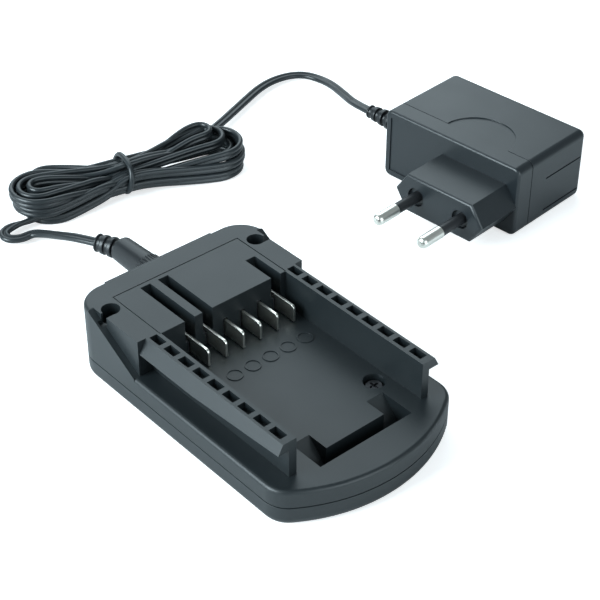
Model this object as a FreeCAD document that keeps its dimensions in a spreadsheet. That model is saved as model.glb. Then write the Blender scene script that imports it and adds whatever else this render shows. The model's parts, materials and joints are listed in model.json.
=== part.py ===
import FreeCAD, Part
import math
import os

import Sketcher
from FreeCAD import Placement, Rotation, Vector

# Slide-pack battery charger: a cradle, its plug-in lead and a wall adapter. Millimetres, +Z up.
# The origin is the middle of the cradle's flat underside. +Y points to the back, where the lead plugs in.

os.makedirs("parts", exist_ok=True)
doc = FreeCAD.newDocument("battery_charger")
dims = doc.addObject("Spreadsheet::Sheet", "dims")

# Driving dimensions, one row each: what it measures and its size.
SIZES = {
    # Cradle outline, seen from above
    "cradle_half_width": 31.2,
    "nose_reach": 52.5,
    "back_reach": 46.0,
    "nose_radius": 49.0,
    "nose_corner": 8.0,
    "back_corner": 9.0,
    "bulge_half_width": 19.0,
    "bulge_depth": 1.2,
    # Cradle heights
    "base_height": 6.5,
    "shadow_gap": 0.35,
    "deck_top": 12.2,
    "platform_top": 23.9,
    "bottom_round": 3.0,
    "deck_round": 1.2,
    "platform_round": 1.2,
    # Shell walls
    "shell_wall": 2.2,
    "floor_wall": 2.0,
    "deck_wall": 2.0,
    "tongue_inset": 1.2,
    "tongue_rise": 1.4,
    "tongue_play": 0.1,
    # Raised rear platform and its side ramps
    "platform_half_width": 29.2,
    "platform_step": 1.0,
    "ramp_gap": 8.0,
    # Rails that the battery slides over
    "rail_inner": 22.0,
    "rail_web": 2.5,
    "rail_front": 39.1,
    "rail_top_width": 4.4,
    "lip_reach": 6.8,
    "lip_bottom": 19.5,
    "lip_rise": 1.5,
    "lip_taper_length": 34.0,
    "window_count": 9,
    "window_pitch": 6.2,
    "window_width": 2.5,
    "window_length": 4.5,
    "window_depth": 2.3,
    "window_edge": 1.1,
    "first_window": 0.45,
    # Latch pocket in the nose
    "latch_half_width": 16.1,
    "latch_plate_half": 10.2,
    "latch_wall_y": 41.6,
    "latch_plate_y": 37.2,
    "latch_back_y": 30.4,
    "latch_depth": 6.4,
    "latch_wall": 1.4,
    # Terminal cover, its slots and the six blades
    "cover_half_width": 22.1,
    "cover_length": 21.7,
    "cover_gap": 7.7,
    "cover_wall": 1.6,
    "cover_play": 0.25,
    "cover_seat": 2.0,
    "slot_rib": 1.0,
    "slot_width": 3.4,
    "slot_end": 1.4,
    "short_slot_end": 10.3,
    "slot_floor_drop": 7.4,
    "blade_count": 6,
    "blade_pitch": 6.15,
    "blade_first": -12.2,
    "blade_thick": 0.8,
    "blade_reach": 8.1,
    "blade_top": 17.8,
    "blade_foot": 12.4,
    "blade_corner": 1.2,
    "blade_hold": 9.4,
    "blade_leg": 3.0,
    "blade_play": 0.05,
    "header_gap": 2.4,
    "header_rear": 1.5,
    "header_side": 1.3,
    "header_top": 15.0,
    "mark_radius": 2.4,
    "mark_line": 0.35,
    "mark_height": 0.25,
    "mark_gap": 7.4,
    "mark_count": 5,
    "mark_first": -9.3,
    "mark_pitch": 6.35,
    # Case screws and their bosses
    "screw_deck_x": 17.6,
    "screw_deck_y": 25.5,
    "screw_pit_x": 25.9,
    "screw_pit_gap": 11.6,
    "screw_shank": 1.25,
    "screw_head": 2.3,
    "screw_head_height": 1.6,
    "screw_recess": 3.2,
    "pit_radius": 2.7,
    "pit_notch_reach": 4.6,
    "pit_notch_width": 2.6,
    "pit_notch_depth": 3.2,
    "screw_hole_play": 0.3,
    "screw_sink": 1.5,
    "ledge_wall": 1.5,
    "screw_bite": 4.5,
    "screw_tip_room": 1.0,
    "pilot_play": 0.05,
    "pit_floor": 14.0,
    "boss_radius": 2.6,
    "boss_shoulder": 3.6,
    "boss_play": 0.1,
    "recess_width": 0.7,
    "recess_depth": 0.8,
    # Circuit board in the cradle
    "board_thick": 1.6,
    "board_height": 4.2,
    "board_side": 1.6,
    "board_front": 21.8,
    "board_rear_gap": 3.4,
    "rest_x": 20.0,
    "rest_y": 17.0,
    "rest_radius": 2.0,
    "board_hole_play": 0.25,
    "smoothing_radius": 3.15,
    "smoothing_height": 8.5,
    # Power socket and the plug in it
    "jack_x": 3.0,
    "jack_z": 12.0,
    "jack_width": 9.0,
    "jack_length": 13.5,
    "jack_height": 10.6,
    "jack_bore": 2.85,
    "jack_bore_depth": 10.6,
    "jack_pin": 0.95,
    "jack_play": 0.3,
    "jack_spring": 0.3,
    "jack_spring_play": 0.1,
    "socket_hole": 3.3,
    "barrel_outer": 2.75,
    "barrel_wall": 0.45,
    "barrel_length": 9.5,
    "barrel_root": 3.0,
    "insulator_step": 0.2,
    "contact_outer": 1.35,
    "contact_bore": 1.05,
    "plug_gap": 0.4,
    "plug_front": 4.7,
    "plug_rear": 4.0,
    "plug_length": 22.5,
    "plug_nose": 1.0,
    "relief_length": 9.4,
    "relief_base": 3.5,
    "relief_tip": 2.9,
    "relief_turn": 22.0,
    "relief_sink": 1.0,
    "relief_ring": 1.3,
    # Lead
    "lead_width": 2.7,
    "hank_length": 82.0,
    "hank_waist": 13.0,
    "hank_end": 25.0,
    "hank_height": 10.5,
    "hank_x": 36.0,
    "hank_y": 112.0,
    "hank_turn": -14.0,
    "tie_wire": 1.8,
    "tie_play": 0.2,
    "tie_length": 2.4,
    "tie_shift": -4.0,
    "hank_low": 0.2,
    "hank_round": 3.2,
    "hank_shoulder": 22.0,
    # Wall adapter
    "adapter_x": 106.0,
    "adapter_y": 63.5,
    "adapter_turn": 5.0,
    "adapter_length": 55.2,
    "adapter_depth": 35.5,
    "adapter_height": 24.8,
    "adapter_wall": 2.0,
    "adapter_seam": 7.0,
    "seam_groove": 0.3,
    "adapter_edge": 2.4,
    "adapter_face_edge": 1.0,
    "lap_rise": 1.4,
    "lap_inset": 1.1,
    "lap_play": 0.1,
    "label_from": 2.2,
    "label_length": 21.0,
    "label_margin": 2.4,
    "label_depth": 0.4,
    "thumb_radius": 12.4,
    "thumb_centre": 32.6,
    "thumb_depth": 0.35,
    "side_groove_width": 0.5,
    "side_groove_depth": 0.4,
    "side_groove_from": 15.0,
    "side_groove_low": 3.2,
    "side_groove_spread": 12.0,
    # Mains plug on the adapter
    "plug_block_margin": 0.15,
    "plug_block_z": 11.1,
    "plug_block_reach": 17.3,
    "plug_block_half": 17.65,
    "plug_block_flat": 13.0,
    "plug_block_height": 13.7,
    "plug_block_edge": 1.0,
    "pin_spacing": 18.0,
    "pin_radius": 2.0,
    "pin_length": 19.0,
    "pin_bare": 9.2,
    "pin_dome": 1.5,
    "pin_core": 1.4,
    "pin_seat": 7.0,
    "pin_tail": 1.5,
    "strip_thick": 0.5,
    "strip_width": 4.0,
    "strip_lap": 2.0,
    "strip_low": 6.7,
    "sleeve_radius": 1.8,
    "pin_recess": 3.2,
    "pin_recess_depth": 1.2,
    "cable_exit_x": 11.5,
    "cable_exit_z": 12.4,
    "boot_length": 17.0,
    "boot_base": 3.9,
    "boot_tip": 2.3,
    "boot_flange": 4.8,
    "boot_flange_depth": 1.4,
    "boot_neck": 3.0,
    "boot_play": 0.1,
    "boot_ring": 1.5,
    # Adapter inside
    "mains_board_z": 4.0,
    "mains_board_play": 0.5,
    "board_inset": 8.8,
    "board_rib": 1.5,
    "core_leg": 2.6,
    "coil_play": 0.15,
    "coil_proud": 2.4,
    "core_length": 18.0,
    "core_width": 16.0,
    "core_height": 13.0,
    "bulk_radius": 4.0,
    "bulk_length": 13.0,
    "output_radius": 3.15,
    "output_height": 11.0,
}
for row, (alias, value) in enumerate(SIZES.items(), start=1):
    dims.set(f"A{row}", alias.replace("_", " "))
    dims.set(f"B{row}", str(value))
    dims.setAlias(f"B{row}", alias)
doc.recompute()


def size(alias):
    """The value of one cell of the sheet."""
    return float(dims.get(alias))


def worth(formula):
    """What a formula of the sheet comes to."""
    return float(dims.evalExpression(formula))


def bind(item, **formulas):
    """Binds properties to formulas of the sheet. Two underscores stand for a dot."""
    for name, formula in formulas.items():
        item.setExpression(name.replace("__", "."), formula)
    return item


def at(item, x, y, z):
    """Binds the place of an object to three formulas."""
    return bind(item, Placement__Base__x=x, Placement__Base__y=y, Placement__Base__z=z)


def block(name, length, width, height, x, y, z):
    """A box with its low corner at x, y, z."""
    item = doc.addObject("Part::Box", name)
    bind(item, Length=length, Width=width, Height=height)
    return at(item, x, y, z)


UP, AWAY, ALONG_X = Rotation(), Rotation(Vector(1, 0, 0), -90), Rotation(Vector(0, 1, 0), 90)


def rod(name, radius, length, x, y, z, turn=UP):
    """A round bar. It stands up, or lies along +Y (AWAY) or +X (ALONG_X)."""
    item = doc.addObject("Part::Cylinder", name)
    item.Placement = Placement(Vector(), turn)
    bind(item, Radius=radius, Height=length)
    return at(item, x, y, z)


def taper(name, start, end, length, x, y, z, turn=UP):
    """A round bar whose radius goes from start to end."""
    item = doc.addObject("Part::Cone", name)
    item.Placement = Placement(Vector(), turn)
    bind(item, Radius1=start, Radius2=end, Height=length)
    return at(item, x, y, z)


def join(name, *items):
    """One solid of several that touch or overlap."""
    fused = doc.addObject("Part::MultiFuse", name)
    fused.Shapes = list(items)
    fused.Refine = True
    return fused


def cut(name, base, *tools):
    """base without the tools."""
    for number, tool in enumerate(tools, start=1):
        step = doc.addObject("Part::Cut", name if number == len(tools) else f"{name}_cut{number}")
        step.Base, step.Tool = base, tool
        base = step
    return base


def common(name, *items):
    """What several solids share."""
    shared = doc.addObject("Part::MultiCommon", name)
    shared.Shapes = list(items)
    return shared


def rounded(name, base, radius, picks):
    """Fillets the edges of base that picks chooses."""
    doc.recompute()
    edges = [n for n, edge in enumerate(base.Shape.Edges, start=1) if picks(edge)]
    item = doc.addObject("Part::Fillet", name)
    item.Base = base
    item.Edges = [(n, radius, radius) for n in edges]
    return item


def level(edge, z):
    """True for an edge that lies at height z."""
    box = edge.BoundBox
    return abs(box.ZMin - z) < 1e-4 and abs(box.ZMax - z) < 1e-4


def outline(name, z, inset=(), give=()):
    """The cradle's plan outline, moved inwards by the sizes in inset and out by those in give."""
    step = sum(map(size, inset)) - sum(map(size, give))
    shift = "".join(f" - dims.{alias}" for alias in inset) + "".join(f" + dims.{alias}" for alias in give)
    half, back = size("cradle_half_width") - step, size("back_reach") - step
    bow, corner = size("nose_radius") - step, size("nose_corner") - step
    rear = size("back_corner") - step
    middle = size("nose_radius") - size("nose_reach")
    corner_x = half - corner
    corner_y = middle - math.sqrt((bow - corner) ** 2 - corner_x ** 2)
    lean = math.atan2(corner_y - middle, corner_x)

    def arc(x, y, radius, start, end):
        return Part.ArcOfCircle(Part.Circle(Vector(x, y, 0), Vector(0, 0, 1), radius), start, end)

    def line(x1, y1, x2, y2):
        return Part.LineSegment(Vector(x1, y1, 0), Vector(x2, y2, 0))

    sketch = doc.addObject("Sketcher::SketchObject", name)
    sketch.addGeometry([
        line(half, corner_y, half, back - rear),
        arc(half - rear, back - rear, rear, 0, math.pi / 2),
        line(half - rear, back, rear - half, back),
        arc(rear - half, back - rear, rear, math.pi / 2, math.pi),
        line(-half, back - rear, -half, corner_y),
        arc(-corner_x, corner_y, corner, math.pi, math.pi * 2 - (math.pi + lean)),
        arc(0, middle, bow, -math.pi - lean, lean),
        arc(corner_x, corner_y, corner, lean, 0),
    ])
    for first in range(8):
        sketch.addConstraint(Sketcher.Constraint("Tangent", first, 2, (first + 1) % 8, 1))
    sketch.addConstraint(Sketcher.Constraint("Vertical", 0))
    sketch.addConstraint(Sketcher.Constraint("Horizontal", 2))
    sketch.addConstraint(Sketcher.Constraint("Vertical", 4))
    sketch.addConstraint(Sketcher.Constraint("Equal", 1, 3))
    sketch.addConstraint(Sketcher.Constraint("Equal", 5, 7))
    sketch.addConstraint(Sketcher.Constraint("PointOnObject", 6, 3, -2))
    driven = [
        ("DistanceX", (-1, 1, 0, 1), half, "dims.cradle_half_width"),
        ("DistanceX", (4, 1, -1, 1), half, "dims.cradle_half_width"),
        ("DistanceY", (-1, 1, 2, 1), back, "dims.back_reach"),
        ("Radius", (1,), rear, "dims.back_corner"),
        ("Radius", (5,), corner, "dims.nose_corner"),
        ("Radius", (6,), bow, "dims.nose_radius"),
    ]
    for kind, where, value, formula in driven:
        number = sketch.addConstraint(Sketcher.Constraint(kind, *where, value))
        sketch.setExpression(f"Constraints[{number}]", formula + shift)
    number = sketch.addConstraint(Sketcher.Constraint("DistanceY", 6, 3, 2, 1, back - middle))
    formula = "dims.back_reach + dims.nose_reach - dims.nose_radius"
    sketch.setExpression(f"Constraints[{number}]", formula + shift)
    sketch.setExpression("Placement.Base.z", z)
    return sketch


def layer(name, bottom, top, inset=(), give=()):
    """A slab of the cradle's outline between two heights."""
    item = doc.addObject("Part::Extrusion", name)
    item.Base = outline(name + "_outline", bottom, inset, give)
    item.DirMode, item.Solid = "Normal", True
    return bind(item, LengthFwd=f"({top}) - ({bottom})")


def profile(name, points, x, length):
    """A solid whose side view is the polygon of (y, z) formulas, from x over length."""
    sketch = doc.addObject("Sketcher::SketchObject", name + "_profile")
    sketch.Placement = Placement(Vector(), Rotation(Vector(1, 1, 1), 120))
    corners = [Vector(index, index * index, 0) for index in range(len(points))]
    for index, corner in enumerate(corners):
        sketch.addGeometry(Part.LineSegment(corner, corners[(index + 1) % len(corners)]))
    for index in range(len(points)):
        sketch.addConstraint(
            Sketcher.Constraint("Coincident", index, 2, (index + 1) % len(points), 1)
        )
    for index, (y, z) in enumerate(points):
        for kind, formula in (("DistanceX", y), ("DistanceY", z)):
            number = sketch.addConstraint(Sketcher.Constraint(kind, -1, 1, index, 1, 1.0))
            sketch.setExpression(f"Constraints[{number}]", formula)
    sketch.setExpression("Placement.Base.x", x)
    item = doc.addObject("Part::Extrusion", name)
    item.Base, item.DirMode, item.Solid = sketch, "Normal", True
    return bind(item, LengthFwd=length)


PIECES = {}


def piece(label, shape):
    """Names one physical piece: its label is its file's name."""
    shape.Label = label
    PIECES[label] = shape
    return shape


# Places along Y that follow the back of the cradle, or the adapter's length
COVER_BACK = "(dims.back_reach - dims.cover_gap)"
COVER_FRONT = f"({COVER_BACK} - dims.cover_length)"
SLOT_BACK = f"({COVER_BACK} - dims.slot_end)"
SHORT_SLOT_BACK = f"({COVER_BACK} - dims.short_slot_end)"
BLADE_TAIL = f"({COVER_FRONT} + dims.blade_hold)"
HEADER_FRONT = f"({COVER_FRONT} + dims.header_gap)"
HEADER_BACK = f"({BLADE_TAIL} + dims.header_rear)"
PLATFORM_FRONT = f"({COVER_FRONT} + dims.platform_step)"
RAMP_BACK = "(dims.back_reach - dims.ramp_gap)"
PIT_Y = "(dims.back_reach - dims.screw_pit_gap)"
BOARD_BACK = "(dims.back_reach - dims.board_rear_gap)"
MARK_Y = f"({COVER_FRONT} - dims.blade_reach - dims.mark_gap)"
PLUG_MIDDLE = "(dims.adapter_length - dims.plug_block_half - dims.plug_block_margin)"

# Heights and places that several pieces share
SPLIT = "dims.base_height + dims.shadow_gap"
BACK_WALL = "dims.back_reach + dims.bulge_depth"
BOARD_TOP = "dims.board_height + dims.board_thick"
DECK_LEDGE = "dims.deck_top - dims.screw_sink - dims.screw_head_height"
SCREWS = {
    "deck_right": ("dims.screw_deck_x", "-dims.screw_deck_y", DECK_LEDGE),
    "deck_left": ("-dims.screw_deck_x", "-dims.screw_deck_y", DECK_LEDGE),
    "pit_right": ("dims.screw_pit_x", PIT_Y, "dims.pit_floor"),
    "pit_left": ("-dims.screw_pit_x", PIT_Y, "dims.pit_floor"),
}


def bulge(name, bottom, top):
    """The shallow step in the middle of the back wall."""
    return block(
        name, "2*dims.bulge_half_width", "dims.bulge_depth + dims.shell_wall/2", f"({top}) - ({bottom})",
        "-dims.bulge_half_width", "dims.back_reach - dims.shell_wall/2", bottom,
    )


def base_shell():
    """The tray under the cradle, with a tongue that fits inside the top shell and four screw posts."""
    slab = layer("base_slab", "0", "dims.base_height")
    body = join("base_body", slab, bulge("base_bulge", "0", "dims.base_height"))
    body = rounded("base_rounded", body, size("bottom_round"), lambda edge: level(edge, 0))
    top = "dims.base_height + dims.tongue_rise"
    body = join("base_with_tongue", body, layer("base_tongue", "dims.floor_wall", top, ["tongue_inset"]))
    hollow = layer("base_hollow", "dims.floor_wall", top, ["shell_wall"])
    tray = cut("base_tray", body, hollow)
    posts = []
    holes = []
    for where, (x, y, ledge) in SCREWS.items():
        posts.append(rod(
            "post_" + where, "dims.boss_radius",
            f"{ledge} - dims.ledge_wall - dims.boss_play - dims.floor_wall/2", x, y, "dims.floor_wall/2",
        ))
        holes.append(rod(
            "pilot_" + where, "dims.screw_shank + dims.pilot_play", "dims.platform_top",
            x, y, f"{ledge} - dims.ledge_wall - dims.screw_bite - dims.screw_tip_room",
        ))
    rests = {
        "rear_right": ("dims.screw_pit_x", PIT_Y, "dims.boss_shoulder"),
        "rear_left": ("-dims.screw_pit_x", PIT_Y, "dims.boss_shoulder"),
        "front_right": ("dims.rest_x", "-dims.rest_y", "dims.rest_radius"),
        "front_left": ("-dims.rest_x", "-dims.rest_y", "dims.rest_radius"),
    }
    for where, (x, y, radius) in rests.items():
        posts.append(rod(
            "board_rest_" + where, radius, "dims.board_height - dims.floor_wall/2", x, y, "dims.floor_wall/2",
        ))
    return piece("base_shell", cut("base_shell", join("base_with_posts", tray, *posts), *holes))


def rail():
    """The right rail: a web, a lip whose lower edge rises to the nose, and its row of windows."""
    run = f"dims.rail_front + {PLATFORM_FRONT} + dims.cover_play"
    web = block(
        "rail_web", "dims.rail_web", run, "dims.platform_top - dims.deck_top + dims.deck_wall/2",
        "dims.rail_inner", "-dims.rail_front", "dims.deck_top - dims.deck_wall/2",
    )
    lip = doc.addObject("Part::Wedge", "rail_lip")
    lip.Placement = Placement(Vector(), Rotation(Vector(1, 0, 0), 90))
    bind(
        lip, Xmin="0", X2min="0", Ymin="0", Zmin="0", Z2min="0",
        Xmax="dims.lip_reach", X2max="dims.rail_top_width",
        Ymax="dims.platform_top - dims.lip_bottom", Zmax=run, Z2max=run,
    )
    at(lip, "dims.rail_inner", f"{run} - dims.rail_front", "dims.lip_bottom")
    rise = profile(
        "rail_lead_in",
        [
            ("-dims.rail_front - 1", "dims.lip_bottom - 1"),
            ("dims.lip_taper_length - dims.rail_front", "dims.lip_bottom - 1"),
            ("dims.lip_taper_length - dims.rail_front", "dims.lip_bottom"),
            ("-dims.rail_front - 1", "dims.lip_bottom + dims.lip_rise"),
        ],
        "dims.rail_inner + dims.rail_web", "dims.lip_reach",
    )
    solid = cut("rail_shape", join("rail_solid", web, lip), rise)
    windows = []
    for number in range(int(size("window_count"))):
        windows.append(block(
            f"rail_window_{number + 1}", "dims.window_width", "dims.window_length", "dims.window_depth + 1",
            "dims.rail_inner + dims.window_edge",
            f"{PLATFORM_FRONT} - dims.first_window - dims.window_length - {number}*dims.window_pitch",
            "dims.platform_top - dims.window_depth",
        ))
    return cut("rail_right", solid, join("rail_windows", *windows))


def latch_well():
    """The pocket in the nose that the battery's latch drops into: a deep slot with a ramp at each end."""
    well = block(
        "latch_tub", "2*(dims.latch_half_width + dims.latch_wall)",
        "dims.latch_wall_y - dims.latch_back_y + 2*dims.latch_wall",
        "dims.latch_depth + dims.latch_wall", "-dims.latch_half_width - dims.latch_wall",
        "-dims.latch_wall_y - dims.latch_wall", "dims.deck_top - dims.latch_depth - dims.latch_wall",
    )
    floor = "dims.deck_top - dims.latch_depth"
    hole = profile(
        "latch_ramps",
        [
            ("-dims.latch_wall_y", "dims.deck_top + 1"),
            ("-dims.latch_wall_y", floor),
            ("-dims.latch_plate_y", floor),
            ("-dims.latch_back_y", "dims.deck_top"),
            ("-dims.latch_back_y", "dims.deck_top + 1"),
        ],
        "-dims.latch_half_width", "2*dims.latch_half_width",
    )
    plate = block(
        "latch_plate", "2*dims.latch_plate_half", "dims.latch_plate_y - dims.latch_back_y + 1",
        "dims.latch_depth + 1", "-dims.latch_plate_half", "-dims.latch_plate_y", floor,
    )
    return well, cut("latch_hole", hole, plate)


def rear_platform():
    """The raised back of the top shell, level with the rails, with a slope down each side."""
    full = layer("platform_block", SPLIT, "dims.platform_top")
    side = profile(
        "platform_side_view",
        [
            (PLATFORM_FRONT, SPLIT),
            (PLATFORM_FRONT, "dims.deck_top"),
            (RAMP_BACK, "dims.platform_top"),
            ("dims.back_reach", "dims.platform_top"),
            ("dims.back_reach", SPLIT),
        ],
        "-dims.cradle_half_width", "2*dims.cradle_half_width",
    )
    ramped = common("platform_ramped", full, side)
    middle = block(
        "platform_middle", "2*dims.platform_half_width", f"{RAMP_BACK} - {PLATFORM_FRONT} + 2",
        "dims.platform_top - (" + SPLIT + ")", "-dims.platform_half_width", PLATFORM_FRONT, SPLIT,
    )
    solid = join("platform_solid", ramped, middle)
    top = size("platform_top")
    ramp_back = worth(RAMP_BACK)
    return rounded(
        "platform_rounded", solid, size("platform_round"),
        lambda edge: level(edge, top) and edge.BoundBox.YMin > ramp_back - 1e-3,
    )


def top_shell():
    """The upper housing: deck, rails, latch pocket and raised platform, hollow from below."""
    slab = layer("deck_slab", SPLIT, "dims.deck_top")
    deck = size("deck_top")
    slab = rounded("deck_rounded", slab, size("deck_round"), lambda edge: level(edge, deck))
    well, hole = latch_well()
    right = rail()
    left = doc.addObject("Part::Mirroring", "rail_left")
    left.Source, left.Normal, left.Base = right, Vector(1, 0, 0), Vector()
    step = bulge("top_bulge", SPLIT, "dims.platform_top - dims.platform_round")
    shell = join("top_solid", slab, rear_platform(), step)
    under = layer("deck_hollow", "0", "dims.deck_top - dims.deck_wall", ["shell_wall"])
    rabbet_top = "dims.base_height + dims.tongue_rise + dims.tongue_play"
    rabbet = layer("top_rabbet", "0", rabbet_top, ["tongue_inset"], ["tongue_play"])
    hood = common(
        "hood_hollow",
        layer(
            "hood_layer", "dims.deck_top - dims.deck_wall - 1",
            "dims.platform_top - dims.deck_wall", ["shell_wall"],
        ),
        profile(
            "hood_side_view",
            [
                (f"{COVER_BACK} + dims.cover_play + dims.shell_wall", "0"),
                (f"{COVER_BACK} + dims.cover_play + dims.shell_wall", "dims.platform_top"),
                ("dims.back_reach", "dims.platform_top"),
                ("dims.back_reach", "0"),
            ],
            "-dims.screw_pit_x + dims.pit_radius + dims.shell_wall",
            "2*(dims.screw_pit_x - dims.pit_radius - dims.shell_wall)",
        ),
    )
    shell = cut("top_hollow", shell, under, rabbet, hood)
    shell = join("top_with_rails", shell, right, left, well)
    bay = block(
        "cover_bay", "2*(dims.cover_half_width + dims.cover_play)",
        f"{COVER_BACK} + dims.cover_play - {PLATFORM_FRONT} + 1", "dims.platform_top",
        "-dims.cover_half_width - dims.cover_play", f"{PLATFORM_FRONT} - 1", "dims.deck_top",
    )
    hatch = block(
        "cover_hatch", "2*(dims.cover_half_width - dims.cover_seat)",
        f"{COVER_BACK} - {COVER_FRONT} - 2*dims.cover_seat", "dims.deck_wall + 2",
        "-dims.cover_half_width + dims.cover_seat", f"{COVER_FRONT} + dims.cover_seat",
        "dims.deck_top - dims.deck_wall - 1",
    )
    jack_bay = block(
        "jack_bay", "dims.jack_width + 2*dims.jack_play", "dims.jack_length + dims.jack_play",
        "dims.jack_height + dims.jack_play + 1", "dims.jack_x - dims.jack_width/2 - dims.jack_play",
        "dims.back_reach - dims.shell_wall - dims.jack_length - dims.jack_play", BOARD_TOP + " - 1",
    )
    socket = rod(
        "socket_hole", "dims.socket_hole", "2*dims.shell_wall + 2*dims.bulge_depth",
        "dims.jack_x", "dims.back_reach - dims.shell_wall - 0.5", "dims.jack_z", AWAY,
    )
    holes = [hole, bay, hatch, jack_bay, socket]
    cups = []
    for where, (x, y, ledge) in SCREWS.items():
        in_pit = "pit" in where
        recess = "dims.pit_radius" if in_pit else "dims.screw_recess"
        holes.append(rod("recess_" + where, recess, "dims.platform_top", x, y, ledge))
        holes.append(rod(
            "clearance_" + where, "dims.screw_shank + dims.screw_hole_play", "dims.platform_top",
            x, y, SPLIT,
        ))
        if in_pit:
            side = "-dims.screw_pit_x - dims.pit_notch_reach" if "left" in where else "dims.screw_pit_x"
            holes.append(block(
                "notch_" + where, "dims.pit_notch_reach", "dims.pit_notch_width", "dims.platform_top",
                side, f"{PIT_Y} - dims.pit_notch_width", "dims.platform_top - dims.pit_notch_depth",
            ))
            holes.append(rod(
                "post_bay_" + where, "dims.boss_radius + dims.screw_hole_play",
                f"{ledge} - dims.ledge_wall", x, y, "0",
            ))
        else:
            cups.append(rod(
                "cup_" + where, "dims.screw_recess + dims.ledge_wall",
                f"dims.deck_top - dims.deck_wall/2 - ({ledge} - dims.ledge_wall)",
                x, y, f"{ledge} - dims.ledge_wall",
            ))
    rings = []
    for number in range(int(size("mark_count"))):
        x = f"dims.mark_first + {number}*dims.mark_pitch"
        height = "2*dims.mark_height"
        low = "dims.deck_top - dims.mark_height"
        rings.append(cut(
            f"mark_{number + 1}",
            rod(f"mark_outside_{number + 1}", "dims.mark_radius", height, x, MARK_Y, low),
            rod(
                f"mark_inside_{number + 1}", "dims.mark_radius - dims.mark_line", height,
                x, MARK_Y, low,
            ),
        ))
    shell = join("top_with_cups", shell, *cups, *rings)
    return piece("top_shell", cut("top_shell", shell, *holes))


def blade_x(number):
    """The middle plane of one of the six blades."""
    return f"dims.blade_first + {number}*dims.blade_pitch"


def terminal_cover():
    """The hood over the blades: level with the platform, open below, with three long slots."""
    front, back, low = COVER_FRONT, COVER_BACK, "dims.deck_top"
    slot_floor = "dims.platform_top - dims.slot_floor_drop"
    body = block(
        "cover_body", "2*dims.cover_half_width", f"{back} - {front}", f"dims.platform_top - {low}",
        "-dims.cover_half_width", front, low,
    )
    inside = block(
        "cover_inside", "2*(dims.cover_half_width - dims.cover_wall)",
        f"{back} - {front} - 2*dims.cover_wall", f"dims.platform_top - dims.cover_wall - {low} + 1",
        "-dims.cover_half_width + dims.cover_wall", f"{front} + dims.cover_wall", f"{low} - 1",
    )
    slots = []
    ribs = []
    last = int(size("blade_count")) - 1
    for number, slot_back in ((0, SLOT_BACK), (1, SLOT_BACK), (last, SHORT_SLOT_BACK)):
        slots.append(block(
            f"cover_slot_{number + 1}", "dims.slot_width", f"{slot_back} - {front} + 1",
            "dims.slot_floor_drop + 1", f"{blade_x(number)} - dims.slot_width/2", f"{front} - 1", slot_floor,
        ))
        ribs.append(block(
            f"cover_rib_{number + 1}", "dims.slot_width + 2*dims.slot_rib", f"{back} - {front}",
            "dims.slot_floor_drop", f"{blade_x(number)} - dims.slot_width/2 - dims.slot_rib", front,
            slot_floor,
        ))
    doors = []
    for number in range(int(size("blade_count"))):
        doors.append(block(
            f"cover_door_{number + 1}", "dims.blade_thick + 2*dims.cover_play", "dims.cover_wall + 2",
            f"dims.blade_top - {low} + dims.cover_play + 1",
            f"{blade_x(number)} - dims.blade_thick/2 - dims.cover_play", f"{front} - 1", f"{low} - 1",
        ))
    jack_gap = block(
        "cover_jack_gap", "dims.jack_width + 2*dims.jack_play",
        f"{back} - (dims.back_reach - dims.shell_wall - dims.jack_length - dims.jack_play) + 1",
        "dims.jack_height + dims.jack_play", "dims.jack_x - dims.jack_width/2 - dims.jack_play",
        "dims.back_reach - dims.shell_wall - dims.jack_length - dims.jack_play", BOARD_TOP,
    )
    hood = join("cover_with_ribs", cut("cover_hood", body, inside), *ribs)
    piece("terminal_cover", cut("terminal_cover", hood, *slots, *doors, jack_gap))


def blades():
    """Six flat blades, each with a rounded leading corner and a leg down to the board."""
    for number in range(int(size("blade_count"))):
        plate = profile(
            f"blade_plate_{number + 1}",
            [
                (f"{COVER_FRONT} - dims.blade_reach", "dims.blade_foot"),
                (f"{COVER_FRONT} - dims.blade_reach", "dims.blade_top"),
                (BLADE_TAIL, "dims.blade_top"),
                (BLADE_TAIL, BOARD_TOP),
                (f"{BLADE_TAIL} - dims.blade_leg", BOARD_TOP),
                (f"{BLADE_TAIL} - dims.blade_leg", "dims.blade_foot"),
            ],
            f"{blade_x(number)} - dims.blade_thick/2", "dims.blade_thick",
        )
        front = worth(COVER_FRONT) - size("blade_reach")
        top = size("blade_top")
        piece(f"terminal_blade_{number + 1}", rounded(
            f"terminal_blade_{number + 1}", plate, size("blade_corner"),
            lambda edge: level(edge, top) and abs(edge.CenterOfMass.y - front) < 1e-4,
        ))


def blade_header():
    """The moulded bar on the board that holds the six blades upright."""
    bar = block(
        "header_bar", "(dims.blade_count - 1)*dims.blade_pitch + 2*dims.header_side",
        f"{HEADER_BACK} - {HEADER_FRONT}", f"dims.header_top - ({BOARD_TOP})",
        "dims.blade_first - dims.header_side", HEADER_FRONT, BOARD_TOP,
    )
    slits = []
    for number in range(int(size("blade_count"))):
        x = f"{blade_x(number)} - dims.blade_thick/2 - dims.blade_play"
        width = "dims.blade_thick + 2*dims.blade_play"
        slits.append(block(
            f"header_slit_{number + 1}", width,
            f"{BLADE_TAIL} - {HEADER_FRONT} + dims.blade_play + 1",
            "dims.platform_top", x, f"{HEADER_FRONT} - 1", "dims.blade_foot - dims.blade_play",
        ))
        slits.append(block(
            f"header_leg_{number + 1}", width, "dims.blade_leg + 2*dims.blade_play", "dims.platform_top",
            x, f"{BLADE_TAIL} - dims.blade_leg - dims.blade_play", BOARD_TOP + " - 1",
        ))
    piece("blade_header", cut("blade_header", bar, *slits))


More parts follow.
